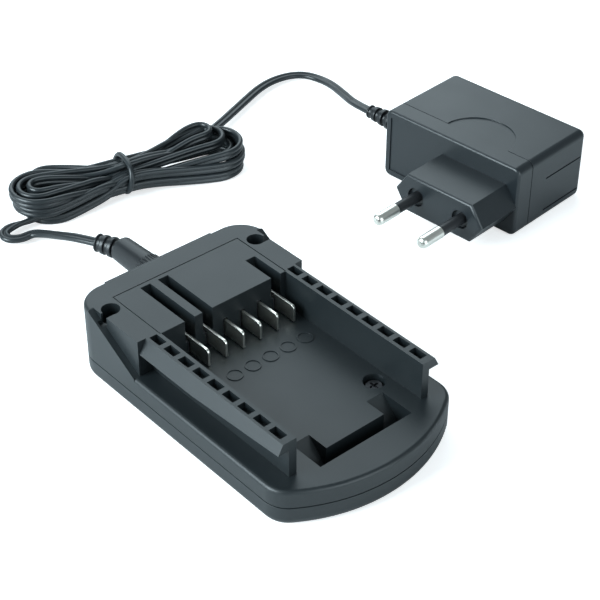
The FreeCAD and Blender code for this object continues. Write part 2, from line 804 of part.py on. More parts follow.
def case_screws():
    """Four round-headed screws with a cross recess, two through the deck and two down the rear pits."""
    screws = []
    arm = "1.3*dims.screw_head"
    for where, (x, y, ledge) in SCREWS.items():
        head = rod("head_" + where, "dims.screw_head", "dims.screw_head_height", x, y, ledge)
        shank = rod(
            "shank_" + where, "dims.screw_shank", "dims.ledge_wall + dims.screw_bite + 0.1",
            x, y, f"{ledge} - dims.ledge_wall - dims.screw_bite",
        )
        deep = f"{ledge} + dims.screw_head_height - dims.recess_depth"
        arms = [
            block(
                f"recess_arm_{where}_{number}", length, width, "dims.recess_depth + 1",
                f"{x} - ({length})/2", f"{y} - ({width})/2", deep,
            )
            for number, (length, width) in enumerate([(arm, "dims.recess_width"), ("dims.recess_width", arm)])
        ]
        screws.append(cut("screw_" + where, join("screw_body_" + where, head, shank), *arms))
    group = doc.addObject("Part::Compound", "case_screws")
    group.Links = screws
    piece("case_screws", group)


def charge_board():
    """The cradle's circuit board and the parts on it."""
    sheet = layer("board_layer", "dims.board_height", BOARD_TOP, ["shell_wall", "board_side"])
    area = block(
        "board_area", "2*dims.cradle_half_width", f"{BOARD_BACK} + dims.board_front", "dims.platform_top",
        "-dims.cradle_half_width", "-dims.board_front", "0",
    )
    holes = [
        rod("board_hole_" + where, "dims.boss_radius + dims.board_hole_play", "dims.platform_top", x, y, "0")
        for where, (x, y, ledge) in SCREWS.items() if "pit" in where
    ]
    piece("charge_board", cut("charge_board", common("board_plan", sheet, area), *holes))
    chip = block("controller_body", "10", "6", "1.5", "-5", "-6", BOARD_TOP)
    legs = [
        block(f"controller_leg_{number + 1}", "0.5", "9", "0.4", f"-4.7 + {number}*1.27", "-7.5", BOARD_TOP)
        for number in range(8)
    ]
    piece("charge_controller", join("charge_controller", chip, *legs))
    core = rod("inductor_core", "3.6", "3.6", "14", "-6", BOARD_TOP)
    neck = cut(
        "inductor_groove", rod("inductor_ring", "4", "2", "14", "-6", BOARD_TOP + " + 0.8"),
        rod("inductor_neck", "2.9", "2", "14", "-6", BOARD_TOP + " + 0.8"),
    )
    piece("charge_inductor", cut("charge_inductor", core, neck))
    can = rod(
        "smoothing_can", "dims.smoothing_radius", "dims.smoothing_height",
        "-14", f"{BOARD_BACK} - 10.6", BOARD_TOP,
    )
    top = size("board_height") + size("board_thick") + size("smoothing_height")
    piece("smoothing_capacitor", rounded(
        "smoothing_capacitor", can, size("smoothing_radius") / 8, lambda edge: level(edge, top),
    ))
    tab = block("switch_tab", "9", "3", "1.2", "-19", "-4.5", BOARD_TOP)
    body = block("switch_body", "6.6", "6.2", "2.3", "-17.8", "-11", BOARD_TOP)
    feet = [
        block(f"switch_foot_{number + 1}", "0.9", "2.6", "0.5", f"-17.4 + {number}*2.5", "-13.4", BOARD_TOP)
        for number in range(3)
    ]
    joint = block("switch_joint", "6.6", "1", "1.2", "-17.8", "-5.2", BOARD_TOP)
    piece("charge_switch", join("charge_switch", tab, joint, body, *feet))


JACK_FRONT = "dims.back_reach - dims.shell_wall"


def power_jack():
    """The round socket on the board: a moulded body, a centre pin and a side spring."""
    body = block(
        "jack_body", "dims.jack_width", "dims.jack_length", "dims.jack_height",
        "dims.jack_x - dims.jack_width/2", f"{JACK_FRONT} - dims.jack_length", BOARD_TOP,
    )
    bore = rod(
        "jack_bore", "dims.jack_bore", "dims.jack_bore_depth + 1", "dims.jack_x",
        f"{JACK_FRONT} - dims.jack_bore_depth", "dims.jack_z", AWAY,
    )
    pin_seat = rod(
        "jack_pin_seat", "dims.jack_pin", "dims.jack_length", "dims.jack_x",
        f"{JACK_FRONT} - dims.jack_length + 1", "dims.jack_z", AWAY,
    )
    spring_width = "dims.jack_width/4"
    spring_low = "dims.jack_z - dims.jack_bore - dims.jack_spring - dims.jack_spring_play"
    room = block(
        "jack_spring_room", spring_width, "dims.jack_bore_depth - 1.5",
        f"dims.jack_z - ({spring_low})", f"dims.jack_x - {spring_width}/2",
        f"{JACK_FRONT} - dims.jack_bore_depth", spring_low,
    )
    piece("jack_housing", cut("jack_housing", body, bore, pin_seat, room))
    piece("jack_pin", rod(
        "jack_pin", "dims.jack_pin", "dims.jack_length - 2.5", "dims.jack_x",
        f"{JACK_FRONT} - dims.jack_length + 1", "dims.jack_z", AWAY,
    ))
    piece("jack_spring", block(
        "jack_spring", spring_width, "dims.jack_bore_depth - 2.0", "dims.jack_spring",
        f"dims.jack_x - {spring_width}/2", f"{JACK_FRONT} - dims.jack_bore_depth", spring_low,
    ))


PLUG_FACE = "dims.back_reach + dims.bulge_depth + dims.plug_gap"


def tube_along_y(name, outer, inner, start, length):
    """A round tube on the socket's axis."""
    x, z = "dims.jack_x", "dims.jack_z"
    wall = rod(name + "_outside", outer, length, x, start, z, AWAY)
    return cut(name, wall, rod(name + "_inside", inner, f"{length} + 2", x, f"{start} - 1", z, AWAY))


def ringed_boot(name, x, y, z, base, tip, length, ring, count):
    """A tapered strain relief along +Y from x, y, z, with ring grooves."""
    grooves = []
    for number in range(count):
        middle = f"{y} + ({number} + 0.7)*({length})/{count + 0.4}"
        grooves.append(cut(
            f"{name}_groove_{number + 1}",
            rod(f"{name}_groove_outside_{number + 1}", f"2*{base}", ring, x, middle, z, AWAY),
            rod(f"{name}_groove_floor_{number + 1}", f"0.8*{tip}", ring, x, middle, z, AWAY),
        ))
    cone = taper(name + "_cone", base, tip, length, x, y, z, AWAY)
    core = rod(name + "_core", f"0.82*{tip}", length, x, y, z, AWAY)
    return join(name + "_ringed", cut(name + "_cut", cone, *grooves), core)


def turned(name, item, angle, x, y, z):
    """item turned about +Z through its own origin, and then moved to x, y, z."""
    held = doc.addObject("Part::Compound", name)
    held.Links = [item]
    held.Placement = Placement(Vector(), Rotation(Vector(0, 0, 1), 1))
    bind(held, Placement__Rotation__Angle=angle)
    return at(held, x, y, z)


def barrel_plug():
    """The lead's plug: a barrel, its insulator and contact, the moulded grip and its strain relief."""
    x, z = "dims.jack_x", "dims.jack_z"
    inner = "dims.barrel_outer - dims.barrel_wall"
    start = f"{PLUG_FACE} - dims.barrel_length"
    long = "dims.barrel_length + dims.barrel_root"
    piece("plug_barrel", tube_along_y("plug_barrel", "dims.barrel_outer", inner, start, long))
    piece("plug_insulator", tube_along_y(
        "plug_insulator", inner, "dims.contact_outer", f"{start} + dims.insulator_step",
        f"{long} - dims.insulator_step",
    ))
    piece("plug_contact", tube_along_y(
        "plug_contact", "dims.contact_outer", "dims.contact_bore", f"{start} + 2*dims.insulator_step",
        f"{long} - 2*dims.insulator_step",
    ))
    boot = ringed_boot(
        "relief", "0", "0", "0", "dims.relief_base", "dims.relief_tip", "dims.relief_length",
        "dims.relief_ring", 3,
    )
    relief_y = f"{PLUG_FACE} + dims.plug_length - dims.relief_sink"
    relief = turned("plug_relief", boot, "dims.relief_turn", x, relief_y, z)
    piece("plug_relief", relief)
    nose = rod("grip_nose", "dims.plug_front", "dims.plug_nose", x, PLUG_FACE, z, AWAY)
    body = taper(
        "grip_body", "dims.plug_front", "dims.plug_rear", "dims.plug_length - dims.plug_nose",
        x, f"{PLUG_FACE} + dims.plug_nose", z, AWAY,
    )
    root = rod("grip_root", "dims.barrel_outer", "dims.barrel_root", x, PLUG_FACE, z, AWAY)
    piece("plug_grip", cut("plug_grip", join("grip_solid", nose, body), root, relief))


# The lead's two free stretches: from the plug to the hank, and from the adapter to the hank
PLUG_ROUTE = [
    (-0.15, 76.9, 12.0), (-3.0, 85.5, 11.0), (-4.0, 94.5, 7.5), (-4.0, 102.5, 4.0), (-5.6, 107.4, 2.4),
    (-9.6, 107.6, 2.0), (-13.2, 110.2, 2.0), (-12.6, 114.0, 2.0), (-8.8, 115.6, 2.0), (-3.2, 114.4, 2.2),
    (2.2, 114.2, 2.6),
]
ADAPTER_ROUTE = [
    (116.06, 80.44, 12.4), (117.2, 91.0, 11.0), (122.0, 100.3, 8.0), (128.0, 113.0, 4.4), (131.0, 122.5, 2.0),
    (129.0, 130.2, 1.6), (122.3, 134.2, 1.6), (111.6, 134.2, 1.6), (96.2, 128.1, 1.6), (80.0, 121.0, 2.5),
    (66.0, 114.5, 5.0), (55.0, 109.4, 7.5),
]
ARC_SHARE = 0.45


def bend(before, corner, after):
    """Where an arc as large as its runs allow starts, passes and ends at a corner, and its radius."""
    inward, outward = before - corner, after - corner
    reach = ARC_SHARE * min(inward.Length, outward.Length)
    inward.normalize()
    outward.normalize()
    half_turn = (math.pi - inward.getAngle(outward)) / 2
    radius = reach / math.tan(half_turn)
    middle = inward + outward
    middle.normalize()
    sag = radius / math.cos(half_turn) - radius
    return corner + inward * reach, corner + middle * sag, corner + outward * reach, radius


def lead_tube(name, route):
    """A round tube of straight runs joined by tangent arcs."""
    points = [Vector(*point) for point in route]
    edges = []
    radii = []
    last = points[0]
    for before, corner, after in zip(points, points[1:], points[2:]):
        start, middle, end, radius = bend(before, corner, after)
        edges.append(Part.LineSegment(last, start).toShape())
        edges.append(Part.Arc(start, middle, end).toShape())
        radii.append(round(radius, 1))
        last = end
    edges.append(Part.LineSegment(last, points[-1]).toShape())
    path = doc.addObject("Part::Feature", name + "_path")
    path.Shape = Part.Wire(edges)
    section = doc.addObject("Part::Circle", name + "_section")
    bind(section, Radius="dims.lead_width/2")
    section.Placement = Placement(points[0], Rotation(Vector(0, 0, 1), points[1] - points[0]))
    tube = doc.addObject("Part::Sweep", name)
    tube.Sections, tube.Spine = [section], (path, [f"Edge{n + 1}" for n in range(len(edges))])
    tube.Solid, tube.Frenet = True, False
    piece(name, tube)
    print(name, "radii", radii, "length", round(path.Shape.Length, 1))
    return tube, path


def frustum(name, start, end, low, high, x, far):
    """A bar from x towards far whose half width and height go from start to end."""
    wedge = doc.addObject("Part::Wedge", name)
    wedge.Placement = Placement(Vector(), Rotation(Vector(0, 0, 1), -90))
    bind(wedge, Xmin=f"-({start})", Xmax=start, X2min=f"-({end})", X2max=end, Zmin=low[0], Zmax=high[0])
    return bind(wedge, Z2min=low[1], Z2max=high[1], Ymin=x, Ymax=far)


def cord_hank():
    """The folded part of the lead as one plain solid with a narrow waist, and the tie around that waist."""
    low, top = "dims.hank_low", "dims.hank_height"
    waist_low = "2*dims.hank_low + dims.tie_wire + dims.tie_play"
    waist_top = "dims.hank_height - dims.hank_low"
    reach = "dims.hank_length/2 - dims.hank_end/2"
    ends = []
    for side, sign in (("left", "-1"), ("right", "1")):
        disc = rod(f"hank_{side}", "dims.hank_end/2", f"{top} - {low}", f"{sign}*({reach})", "0", low)
        ends.append(rounded(
            f"hank_{side}_round", disc, size("hank_round"), lambda edge: len(edge.Vertexes) == 1,
        ))
    half_end, half_waist = "dims.hank_shoulder/2", "dims.hank_waist/2"
    middle = "dims.tie_shift"
    left = frustum(
        "hank_left_neck", half_end, half_waist, (low, waist_low), (top, waist_top), f"-({reach})", middle,
    )
    right = frustum(
        "hank_right_neck", half_waist, half_end, (waist_low, low), (waist_top, top), middle, reach,
    )
    body = join("hank_body", *ends, left, right)
    place = ("dims.hank_turn", "dims.hank_x", "dims.hank_y", "0")
    inner_width = "dims.hank_waist + 2*dims.tie_play"
    strip = "dims.tie_length"
    room = block(
        "tie_room", f"{strip} + 2*dims.tie_play", f"4*{half_waist} + 20", "dims.hank_height + 20",
        f"dims.tie_shift - {strip}/2 - dims.tie_play", f"-2*{half_waist} - 10", "-10",
    )
    channel = cut("tie_channel", room, block(
        "tie_core", f"{strip} + 4*dims.tie_play", "dims.hank_waist", f"{waist_top} - ({waist_low})",
        f"dims.tie_shift - {strip}/2 - 2*dims.tie_play", f"-{half_waist}", waist_low,
    ))
    piece("cord_hank", turned("cord_hank", cut("hank_waisted", body, channel), *place))
    band = block(
        "tie_outside", strip, f"{inner_width} + 2*dims.tie_wire",
        f"{waist_top} - ({waist_low}) + 2*dims.tie_wire + 2*dims.tie_play",
        f"dims.tie_shift - {strip}/2", f"-({inner_width})/2 - dims.tie_wire",
        f"{waist_low} - dims.tie_play - dims.tie_wire",
    )
    hole = block(
        "tie_inside", f"{strip} + 2", inner_width, f"{waist_top} - ({waist_low}) + 2*dims.tie_play",
        f"dims.tie_shift - {strip}/2 - 1", f"-({inner_width})/2", f"{waist_low} - dims.tie_play",
    )
    soft = rounded(
        "tie_rounded", band, size("tie_wire"), lambda edge: edge.BoundBox.XLength > 1,
    )
    piece("hank_tie", turned("hank_tie", cut("tie_band", soft, hole), *place))


def on_adapter(label, item):
    """A piece of the adapter: modelled from the adapter's own corner, then set down beside the cradle."""
    piece(label, turned(label, item, "dims.adapter_turn", "dims.adapter_x", "dims.adapter_y", "0"))


def pin_rod(name, radius, length, start, y, turn=ALONG_X):
    """A round bar on one pin's axis, from start over length along the adapter's X."""
    return rod(name, radius, length, start, y, "dims.plug_block_z", turn)


PIN_SIDES = {
    "left": f"-{PLUG_MIDDLE} + dims.pin_spacing/2",
    "right": f"-{PLUG_MIDDLE} - dims.pin_spacing/2",
}
INNER = "dims.adapter_wall"


def adapter_room(name, near, far, wall=INNER):
    """A box inside the adapter, wall away from its long sides, between two distances from its front."""
    return block(
        name, f"({far}) - ({near})", f"dims.adapter_length - 2*({wall})",
        f"dims.adapter_height - 2*({wall})", near, f"({wall}) - dims.adapter_length", wall,
    )


def adapter_body(name, near, far):
    """The adapter's rounded block between two distances from its front face."""
    block_name = name + "_block"
    whole = block(
        block_name, "dims.adapter_depth", "dims.adapter_length", "dims.adapter_height",
        "0", "-dims.adapter_length", "0",
    )
    depth = size("adapter_depth")
    soft = rounded(name + "_soft", whole, size("adapter_edge"), lambda edge: edge.CenterOfMass.x > 1e-4)
    crisp = rounded(
        name + "_crisp", soft, size("adapter_face_edge"),
        lambda edge: abs(edge.BoundBox.XMax) < 1e-4 and edge.BoundBox.XMax < depth,
    )
    part = block(
        name + "_half", f"({far}) - ({near})", "dims.adapter_length + 2", "dims.adapter_height + 2",
        near, "-dims.adapter_length - 1", "-1",
    )
    return common(name, crisp, part)


def plug_block(name, inset, near, far):
    """A bar with the plug block's six sides, inset from them, between two distances from the front."""
    half = f"(dims.plug_block_half - 1.2*({inset}))"
    flat = f"(dims.plug_block_flat - 0.7*({inset}))"
    rise = f"(dims.plug_block_height/2 - ({inset}))"
    corners = [
        ("+ " + half, ""), ("+ " + flat, " + " + rise), ("- " + flat, " + " + rise),
        ("- " + half, ""), ("- " + flat, " - " + rise), ("+ " + flat, " - " + rise),
    ]
    points = [(f"-{PLUG_MIDDLE} {across}", "dims.plug_block_z" + up) for across, up in corners]
    return profile(name, points, near, f"({far}) - ({near})")


def adapter_front():
    """The adapter's front shell with its plug block."""
    near_seam = "dims.adapter_seam - dims.seam_groove/2"
    walls = cut(
        "front_walls", adapter_body("front_body", "-1", near_seam),
        adapter_room("front_room", "dims.adapter_wall", "dims.adapter_seam + 1"),
    )
    lap_end = "dims.adapter_seam + dims.lap_rise"
    lap = cut(
        "front_lap", adapter_room("lap_outside", "dims.adapter_seam - 2", lap_end, "dims.lap_inset"),
        adapter_room("lap_inside", "dims.adapter_seam - 3", lap_end + " + 1"),
    )
    nose = plug_block("block_outside", "0", "-dims.plug_block_reach", "dims.adapter_wall")
    nose_edge = rounded(
        "block_soft", nose, size("plug_block_edge"),
        lambda edge: abs(edge.BoundBox.XMax + size("plug_block_reach")) < 1e-4,
    )
    hollow = plug_block(
        "block_inside", "dims.adapter_wall", "dims.pin_seat - dims.plug_block_reach", "dims.adapter_wall + 1",
    )
    tools = [hollow]
    outside = "-dims.plug_block_reach - 1"
    for side, y in PIN_SIDES.items():
        tools.append(pin_rod(f"pin_hole_{side}", "dims.pin_core", "dims.pin_seat + 2", outside, y))
        tools.append(pin_rod(
            f"pin_recess_{side}", "dims.pin_recess", "dims.pin_recess_depth + 1", outside, y,
        ))
    tools.append(block(
        "label_recess", "dims.label_depth + 1", "dims.label_length",
        "dims.adapter_height - 2*dims.label_margin",
        "-1", "-dims.label_from - dims.label_length", "dims.label_margin",
    ))
    label_bed = block(
        "label_bed", "dims.label_depth + 0.6", "dims.label_length + 1.2",
        "dims.adapter_height - 2*dims.adapter_wall + 1", "dims.adapter_wall/2",
        "-dims.label_from - dims.label_length - 0.6", "dims.adapter_wall - 0.5",
    )
    shell = cut("adapter_front_shell", join("front_solid", walls, lap, nose_edge, label_bed), *tools)
    on_adapter("adapter_front_shell", shell)


def adapter_rear():
    """The adapter's rear shell: thumb mark, grooves, the cable's hole and the board's ribs."""
    far_seam = "dims.adapter_seam + dims.seam_groove/2"
    body = cut(
        "rear_walls", adapter_body("rear_body", far_seam, "dims.adapter_depth + 1"),
        adapter_room("rear_room", "dims.adapter_seam - 1", "dims.adapter_depth - dims.adapter_wall"),
    )
    ribs = []
    rib_front = "dims.adapter_seam + dims.lap_rise + 1"
    rib_ends = {
        "near": "-dims.adapter_wall - dims.board_rib",
        "far": "dims.adapter_wall - dims.adapter_length",
    }
    for end, y in rib_ends.items():
        ribs.append(block(
            f"board_rib_{end}", f"dims.adapter_depth - dims.adapter_wall - ({rib_front})",
            "dims.board_rib", "dims.mains_board_z - dims.adapter_wall + 0.5",
            rib_front, y, "dims.adapter_wall - 0.5",
        ))
    lap_room = adapter_room(
        "lap_room", "dims.adapter_seam - 1", "dims.adapter_seam + dims.lap_rise + dims.lap_play",
        "dims.lap_inset - dims.lap_play",
    )
    thumb = rod(
        "thumb_mark", "dims.thumb_radius", "dims.thumb_depth + 1", "dims.adapter_seam",
        "-dims.thumb_centre", "dims.adapter_height - dims.thumb_depth",
    )
    hole = rod(
        "cable_hole", "dims.boot_neck + dims.boot_play", "dims.adapter_wall + 2", "dims.cable_exit_x",
        "-dims.adapter_wall - 1", "dims.cable_exit_z", AWAY,
    )
    grooves = [
        block(
            f"side_groove_{number + 1}", "dims.adapter_depth", "dims.side_groove_depth + 1",
            "dims.side_groove_width", "dims.side_groove_from", "-dims.adapter_length - 1",
            f"dims.side_groove_low + {number}*dims.side_groove_spread",
        )
        for number in range(2)
    ]
    shell = cut("adapter_rear_shell", join("rear_solid", body, *ribs), lap_room, thumb, hole, *grooves)
    on_adapter("adapter_rear_shell", shell)
    neck = rod(
        "boot_neck", "dims.boot_neck", "dims.adapter_wall + 0.1", "dims.cable_exit_x",
        "-dims.adapter_wall - 0.05", "dims.cable_exit_z", AWAY,
    )
    flange = rod(
        "boot_flange", "dims.boot_flange", "dims.boot_flange_depth", "dims.cable_exit_x",
        "-dims.adapter_wall - dims.boot_flange_depth", "dims.cable_exit_z", AWAY,
    )
    cone = ringed_boot(
        "boot", "dims.cable_exit_x", "0", "dims.cable_exit_z",
        "dims.boot_base", "dims.boot_tip", "dims.boot_length", "dims.boot_ring", 5,
    )
    on_adapter("adapter_boot", join("adapter_boot", cone, neck, flange))


MAINS_TOP = "dims.mains_board_z + dims.board_thick"


def mains_pins():
    """The two mains pins, their sleeves and the spring strips that carry their current to the board."""
    tip = "-dims.plug_block_reach - dims.pin_length"
    tip_x = worth(tip)
    core_length = "dims.pin_length + dims.pin_seat + dims.pin_tail - 1"
    sleeve_length = "dims.pin_length - dims.pin_bare + dims.pin_recess_depth"
    strip_front = "dims.pin_seat + dims.pin_tail - dims.plug_block_reach"
    strip_back = "dims.board_inset + dims.strip_lap"
    for side, y in PIN_SIDES.items():
        head = pin_rod(f"pin_head_{side}", "dims.pin_radius", "dims.pin_bare", tip, y)
        domed = rounded(
            f"pin_dome_{side}", head, size("pin_dome"),
            lambda edge: len(edge.Vertexes) == 1 and edge.BoundBox.XMax < tip_x + 0.01,
        )
        core = pin_rod(f"pin_core_{side}", "dims.pin_core", core_length, f"{tip} + 1", y)
        on_adapter(f"plug_pin_{side}", join(f"plug_pin_{side}", domed, core))
        sleeve_front = f"{tip} + dims.pin_bare"
        sleeve = pin_rod(f"sleeve_outside_{side}", "dims.sleeve_radius", sleeve_length, sleeve_front, y)
        bore = pin_rod(
            f"sleeve_bore_{side}", "dims.pin_core", f"{sleeve_length} + 2", f"{sleeve_front} - 1", y,
        )
        on_adapter(f"pin_sleeve_{side}", cut(f"pin_sleeve_{side}", sleeve, bore))
        strip_side = f"{y} - dims.strip_width/2"
        upright = block(
            f"strip_upright_{side}", "dims.strip_thick", "dims.strip_width",
            "dims.plug_block_z + dims.pin_core - dims.strip_low", strip_front, strip_side, "dims.strip_low",
        )
        run = block(
            f"strip_run_{side}", f"{strip_back} - ({strip_front})", "dims.strip_width",
            "dims.strip_thick", strip_front, strip_side, "dims.strip_low",
        )
        foot = block(
            f"strip_foot_{side}", "dims.strip_thick", "dims.strip_width",
            f"dims.strip_low - ({MAINS_TOP}) + 0.1", f"{strip_back} - dims.strip_thick",
            strip_side, MAINS_TOP,
        )
        on_adapter(f"pin_strip_{side}", join(f"pin_strip_{side}", upright, run, foot))


def mains_circuit():
    """The adapter's circuit board and the parts on it."""
    edge = "dims.adapter_wall + dims.mains_board_play"
    on_adapter("mains_board", block(
        "mains_board", f"dims.adapter_depth - ({edge}) - dims.board_inset",
        f"dims.adapter_length - 2*({edge})", "dims.board_thick",
        "dims.board_inset", f"{edge} - dims.adapter_length", "dims.mains_board_z",
    ))
    core_x, core_y = "13.5", "-37"
    leg = "dims.core_leg"
    outside = block(
        "core_outside", "dims.core_width", "dims.core_length", "dims.core_height",
        core_x, core_y, MAINS_TOP,
    )
    windows = [
        block(
            f"core_window_{number + 1}", "dims.core_width + 2",
            f"(dims.core_length - 4*{leg})/2", f"dims.core_height - 2*{leg}", f"{core_x} - 1",
            f"{core_y} + {leg} + {number}*(2*{leg} + (dims.core_length - 4*{leg})/2)",
            f"{MAINS_TOP} + {leg}",
        )
        for number in range(2)
    ]
    on_adapter("transformer_core", cut("transformer_core", outside, *windows))
    coil_play = "dims.coil_play"
    coil = block(
        "winding_outside", "dims.core_width + 2*dims.coil_proud",
        f"dims.core_length - 2*{leg} - 2*{coil_play}",
        f"dims.core_height - 2*{leg} - 2*{coil_play}", f"{core_x} - dims.coil_proud",
        f"{core_y} + {leg} + {coil_play}", f"{MAINS_TOP} + {leg} + {coil_play}",
    )
    coil_hole = block(
        "winding_inside", f"dims.core_width + 2*{coil_play}", f"2*{leg} + 2*{coil_play}", "dims.core_height",
        f"{core_x} - {coil_play}", f"{core_y} + (dims.core_length - 2*{leg})/2 - {coil_play}", MAINS_TOP,
    )
    on_adapter("transformer_winding", cut("transformer_winding", coil, coil_hole))
    on_adapter("bulk_capacitor", rod(
        "bulk_capacitor", "dims.bulk_radius", "dims.bulk_length", "26", "-47", MAINS_TOP,
    ))
    on_adapter("output_capacitor", rod(
        "output_capacitor", "dims.output_radius", "dims.output_height", "27", "-8", MAINS_TOP,
    ))
    on_adapter("bridge_rectifier", block("bridge_rectifier", "6.5", "5", "2.6", "13.5", "-46.5", MAINS_TOP))
    bobbin = rod("choke_body", "3", "8", "15", "-10.5", MAINS_TOP)
    throat = cut(
        "choke_throat", rod("choke_outside", "3.5", "5", "15", "-10.5", f"{MAINS_TOP} + 1.5"),
        rod("choke_neck", "2.4", "5", "15", "-10.5", f"{MAINS_TOP} + 1.5"),
    )
    on_adapter("suppression_choke", cut("suppression_choke", bobbin, throat))
    resistor = rod("fuse_body", "1.5", "7", "22", "-40.4", f"{MAINS_TOP} + 1.5", ALONG_X)
    on_adapter("fuse_resistor", resistor)
    on_adapter("switching_chip", block("switching_chip", "9", "5.5", "3", "20", "-18.4", MAINS_TOP))


base_shell()
top_shell()
terminal_cover()
blades()
blade_header()
case_screws()
charge_board()
power_jack()
barrel_plug()
plug_tube = lead_tube("plug_lead", PLUG_ROUTE)
adapter_tube = lead_tube("adapter_lead", ADAPTER_ROUTE)
cord_hank()
adapter_front()
adapter_rear()
mains_pins()
mains_circuit()
doc.recompute()

for item in doc.Objects:
    if "Invalid" in item.State or "Error" in item.State:
        raise ValueError(f"{item.Name} did not recompute")
for label, item in PIECES.items():
    if item.Shape.isNull() or not item.Shape.isValid() or not item.Shape.Solids:
        raise ValueError(f"{label} is not a valid solid")
for tube, path in (plug_tube, adapter_tube):
    section = math.pi * (size("lead_width") / 2) ** 2
    if abs(tube.Shape.Volume / (section * path.Shape.Length) - 1) > 0.01:
        raise ValueError(f"{tube.Label} does not have the volume of its length")
for label, item in PIECES.items():
    item.Shape.exportStep(f"parts/{label}.step")
print(len(PIECES), "pieces")
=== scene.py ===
import json
import math

import bpy
from bpy.props import FloatProperty, FloatVectorProperty, IntProperty, PointerProperty
from mathutils import Matrix, Vector


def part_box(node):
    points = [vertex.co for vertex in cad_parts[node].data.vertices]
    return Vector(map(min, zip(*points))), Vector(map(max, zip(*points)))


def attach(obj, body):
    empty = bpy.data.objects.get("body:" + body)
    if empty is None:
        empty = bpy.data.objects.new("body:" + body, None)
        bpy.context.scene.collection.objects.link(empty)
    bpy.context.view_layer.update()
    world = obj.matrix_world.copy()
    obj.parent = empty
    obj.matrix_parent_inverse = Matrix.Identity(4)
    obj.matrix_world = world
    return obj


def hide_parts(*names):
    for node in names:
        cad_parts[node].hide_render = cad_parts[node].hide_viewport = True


bl_info = {
    "name": "Slide-pack battery charger",
    "version": (1, 0, 0),
    "blender": (4, 5, 0),
    "location": "View3D > Sidebar > Charger",
    "description": "Dresses a battery charger's cradle, lead and wall adapter",
    "category": "Object",
}

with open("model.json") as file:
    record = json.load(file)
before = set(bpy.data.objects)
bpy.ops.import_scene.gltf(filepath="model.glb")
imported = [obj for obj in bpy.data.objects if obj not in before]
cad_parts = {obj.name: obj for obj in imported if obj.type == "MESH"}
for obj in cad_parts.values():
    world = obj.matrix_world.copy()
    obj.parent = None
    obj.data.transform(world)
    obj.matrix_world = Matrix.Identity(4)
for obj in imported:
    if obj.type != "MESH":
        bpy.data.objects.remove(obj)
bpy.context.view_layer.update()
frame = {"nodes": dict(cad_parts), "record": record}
NODES = frame["nodes"]
BODIES = frame["record"]["behaviour"]["bodies"]
BODY_OF = {node: body for body, nodes in BODIES.items() for node in nodes}

# The lead's free stretches, in metres: from the plug's relief, and from the adapter's boot
PLUG_ROUTE = (
    (-0.00015, 0.0769, 0.0120), (-0.0030, 0.0855, 0.0110), (-0.0040, 0.0945, 0.0075),
    (-0.0040, 0.1025, 0.0040), (-0.0056, 0.1074, 0.0024), (-0.0096, 0.1076, 0.0020),
    (-0.0132, 0.1102, 0.0020), (-0.0126, 0.1140, 0.0020), (-0.0088, 0.1156, 0.0020),
    (-0.0032, 0.1144, 0.0022),
)
ADAPTER_ROUTE = (
    (0.11606, 0.08044, 0.0124), (0.1172, 0.0910, 0.0110), (0.1220, 0.1003, 0.0080),
    (0.1280, 0.1130, 0.0044), (0.1310, 0.1225, 0.0020), (0.1290, 0.1302, 0.0019),
    (0.1223, 0.1342, 0.0019), (0.1116, 0.1342, 0.0019), (0.0962, 0.1281, 0.0019),
    (0.0800, 0.1210, 0.0025), (0.0660, 0.1145, 0.0050), (0.0550, 0.1094, 0.0075),
)
HANK_MIDDLE = Vector((0.036, 0.112, 0.0))
HANK_TURN = math.radians(-14.0)

# The folds of the hank, in metres. Each has a right and a left end, and each end says how far along
# the hank its tip is, how far across its middle is, the radius of its bend and its height.
FOLDS = (
    ((0.0392, -0.0012, 0.0088, 0.0018), (-0.0365, -0.0010, 0.0085, 0.0018)),
    ((0.0400, -0.0008, 0.0090, 0.0053), (-0.0398, -0.0010, 0.0088, 0.0053)),
    ((0.0396, -0.0002, 0.0086, 0.0087), (-0.0405, -0.0006, 0.0090, 0.0087)),
    ((0.0372, 0.0010, 0.0062, 0.0020), (-0.0345, -0.0012, 0.0058, 0.0020)),
    ((0.0374, 0.0022, 0.0060, 0.0055), (-0.0372, -0.0008, 0.0060, 0.0055)),
    ((0.0352, 0.0040, 0.0056, 0.0090), (-0.0380, -0.0002, 0.0060, 0.0088)),
    ((0.0318, 0.0066, 0.0036, 0.0104), (-0.0346, -0.0006, 0.0034, 0.0094)),
    ((0.0285, 0.0082, 0.0030, 0.0070), (-0.0305, 0.0092, 0.0046, 0.0060)),
)

# How the folds lie in the tie: the columns, the pitch of columns and rows as shares of the lead's
# thickness and width, the height of the lowest fold's edge in metres and the lean in degrees
FOLD_COLUMNS = 4
COLUMN_PITCH = 0.82
ROW_PITCH = 0.98
TIE_FLOOR = 0.0022
TIE_TILT = 14.0

# Where a fold's points lie: shares of the way from the tie to a bend and back, the number of points
# round a bend, and the factor by which they stand outside its radius
RUN_OUT = (0.0, 0.3, 0.6, 0.85)
RUN_BACK = (0.85, 0.6, 0.3)
BEND_POINTS = 6
BEND_SWELL = 1.04

# The lead's tilt just before the hank, as a share of lying flat, and in metres the points where it
# leaves over the hank's top: across and height at the tie, then along, across and height past it
ENTRY_TILT = 0.4
LEAVING_TIE = (-0.0010, 0.0101)
LEAVING_HANK = (0.008, 0.0006, 0.0098)

# The tie, in metres: half its width, its bottom and top, its corners, its lean and its wire's radius
TIE_HALF = 0.0074
TIE_LOW = 0.0013
TIE_TOP = 0.0114
TIE_CORNER = 0.0030
TIE_LEAN = 0.0012
TIE_RADIUS = 0.0009

# The ribs of the plug's grip: how many, and in metres a rib's radius and length, its middle from the
# grip's front, how deep its axis lies in the grip and its bevel
RIB_COUNT = 30
RIB_RADIUS = 0.00028
RIB_LENGTH = 0.0072
RIB_MIDDLE = 0.0062
RIB_SINK = 0.00022
RIB_EDGE = 0.00008

